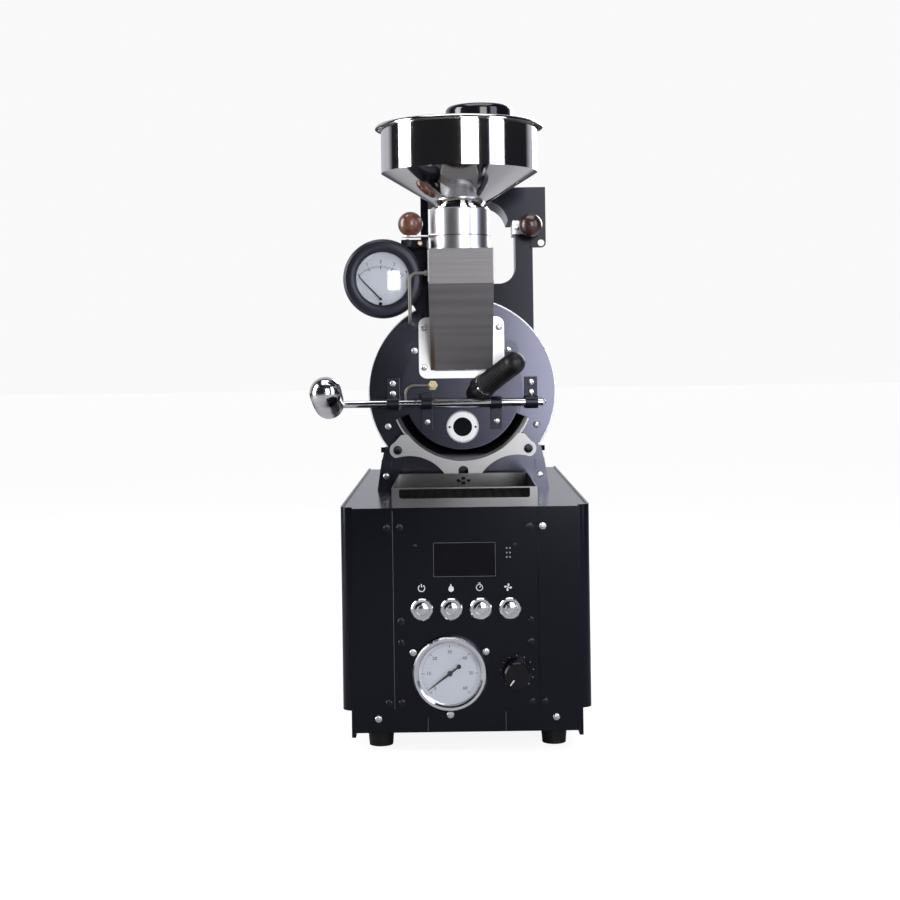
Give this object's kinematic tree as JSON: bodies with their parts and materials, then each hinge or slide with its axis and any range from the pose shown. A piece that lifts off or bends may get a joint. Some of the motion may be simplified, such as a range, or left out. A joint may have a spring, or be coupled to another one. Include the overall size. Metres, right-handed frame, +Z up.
{
  "type": "home coffee bean roaster",
  "caption": "Small gas-fired drum roaster: cabinet with controls, horizontal drum with discharge door and lever, cooling tray, feed hopper with gate, draught gauge and exhaust pipe.",
  "frame": {"origin": "middle of the bounding box's footprint, on the table under the feet", "axes": "+Z up, the control panel faces -Y, +X to the right of someone who faces the controls"},
  "size_m": [0.2926, 0.577, 0.697],
  "materials": {
    "black_metal": "glossy black enamel",
    "black_plastic": "satin moulded",
    "rubber": "matt",
    "polished_steel": "polished stainless steel",
    "brushed_steel": "brushed",
    "aluminium": "turned and polished",
    "brass": "satin",
    "wood": "lacquered",
    "dark_wood": "lacquered",
    "glass": "clear"
  },
  "bodies": {
    "root": {"chassis_tray": "black_metal", "left_side_panel": "black_metal", "right_side_panel": "black_metal", "control_panel": "black_metal", "top_deck": "black_metal", "back_panel": "black_metal", "feet": "rubber", "display_window": "black_plastic", "button_bezels": "polished_steel", "pressure_gauge_case": "polished_steel", "gauge_glasses": "glass", "gas_burner": "brass", "screws": "brushed_steel", "front_plate": "black_metal", "cover_plate": "black_metal", "drum_housing": "black_metal", "shaft_bearing": "aluminium", "drum_motor": "black_metal", "bearing_blocks": "black_metal", "discharge_funnel": "polished_steel", "cooling_fan_housing": "black_plastic", "tryer_sleeve": "black_metal", "thermocouple": "brass", "feed_chute": "brushed_steel", "chute_flange": "polished_steel", "valve_lower": "aluminium", "valve_upper": "aluminium", "hopper": "polished_steel", "exhaust_duct": "black_metal", "damper_body": "aluminium", "exhaust_housing": "black_metal", "exhaust_pipe": "black_metal", "draft_gauge_case": "black_plastic", "gauge_bracket": "black_metal"},
    "door": {"discharge_door": "black_metal", "sight_ring": "polished_steel", "sight_glass": "glass", "door_arms": "black_metal", "pivot_rod": "polished_steel", "lever_handle": "polished_steel"},
    "drum_rotor": {"drum": "brushed_steel", "drum_shaft": "brushed_steel"},
    "tray": {"cooling_tray": "polished_steel", "tray_floor": "brushed_steel"},
    "cooling_rotor": {"cooling_fan": "black_plastic"},
    "exhaust_rotor": {"exhaust_fan": "brushed_steel"},
    "tryer_carriage": {"tryer_collar": "black_plastic"},
    "tryer": {"tryer_scoop": "polished_steel", "tryer_handle": "black_plastic"},
    "gate": {"gate_blade": "polished_steel", "gate_ball": "wood"},
    "damper": {"damper_slide": "brushed_steel", "damper_ball": "dark_wood"},
    "power_key": {"power_button": "polished_steel"},
    "flame_key": {"flame_button": "polished_steel"},
    "timer_key": {"timer_button": "polished_steel"},
    "fan_key": {"fan_button": "polished_steel"},
    "heat_dial": {"heat_knob": "black_plastic"},
    "gas_pointer": {"pressure_needle": "black_plastic"},
    "draught_pointer": {"draft_needle": "black_plastic"}
  },
  "joints": [
    {"name": "door_swing", "type": "hinge", "parent": "root", "child": "door", "pos_m": [0.02135, -0.0785, 0.3413], "axis": [-1, 0, 0], "range_deg": [0, 70]},
    {"name": "drum_spin", "type": "hinge", "parent": "root", "child": "drum_rotor", "pos_m": [0.02135, 0.1295, 0.3544], "axis": [0, 1, 0], "continuous": true},
    {"name": "tray_slide", "type": "slide", "parent": "root", "child": "tray", "axis": [0, -1, 0], "range_m": [0, 0.15]},
    {"name": "cooling_fan_spin", "type": "hinge", "parent": "root", "child": "cooling_rotor", "pos_m": [0.02135, -0.1785, 0.225], "axis": [0, 0, 1], "continuous": true},
    {"name": "exhaust_fan_spin", "type": "hinge", "parent": "root", "child": "exhaust_rotor", "pos_m": [0.04735, 0.0675, 0.624], "axis": [0, 0, 1], "continuous": true},
    {"name": "tryer_slide", "type": "slide", "parent": "root", "child": "tryer_carriage", "axis": [0.4935, -0.7746, 0.3955], "range_m": [0, 0.06]},
    {"name": "tryer_turn", "type": "hinge", "parent": "tryer_carriage", "child": "tryer", "pos_m": [0.04915, -0.0805, 0.3623], "axis": [0.4935, -0.7746, 0.3955], "range_deg": [0, 180]},
    {"name": "gate_slide", "type": "slide", "parent": "root", "child": "gate", "axis": [-1, 0, 0], "range_m": [0, 0.052]},
    {"name": "damper_slide", "type": "slide", "parent": "root", "child": "damper", "axis": [0, -1, 0], "range_m": [0, 0.035]},
    {"name": "power_press", "type": "slide", "parent": "root", "child": "power_key", "axis": [0, 1, 0], "range_m": [0, 0.0015], "stiffness_N_per_m": 250, "springref_m": -0.001},
    {"name": "flame_press", "type": "slide", "parent": "root", "child": "flame_key", "axis": [0, 1, 0], "range_m": [0, 0.0015], "stiffness_N_per_m": 250, "springref_m": -0.001},
    {"name": "timer_press", "type": "slide", "parent": "root", "child": "timer_key", "axis": [0, 1, 0], "range_m": [0, 0.0015], "stiffness_N_per_m": 250, "springref_m": -0.001},
    {"name": "fan_press", "type": "slide", "parent": "root", "child": "fan_key", "axis": [0, 1, 0], "range_m": [0, 0.0015], "stiffness_N_per_m": 250, "springref_m": -0.001},
    {"name": "heat_turn", "type": "hinge", "parent": "root", "child": "heat_dial", "pos_m": [0.07135, -0.2705, 0.0775], "axis": [0, 1, 0], "range_deg": [0, 270]},
    {"name": "gas_needle_turn", "type": "hinge", "parent": "root", "child": "gas_pointer", "pos_m": [0.00435, -0.2735, 0.0775], "axis": [0, 1, 0], "range_deg": [0, 240], "stiffness_Nm_per_rad": 0.002},
    {"name": "draught_needle_turn", "type": "hinge", "parent": "root", "child": "draught_pointer", "pos_m": [-0.06535, -0.1565, 0.4567], "axis": [0, 1, 0], "range_deg": [0, 85], "stiffness_Nm_per_rad": 0.002}
  ]
}
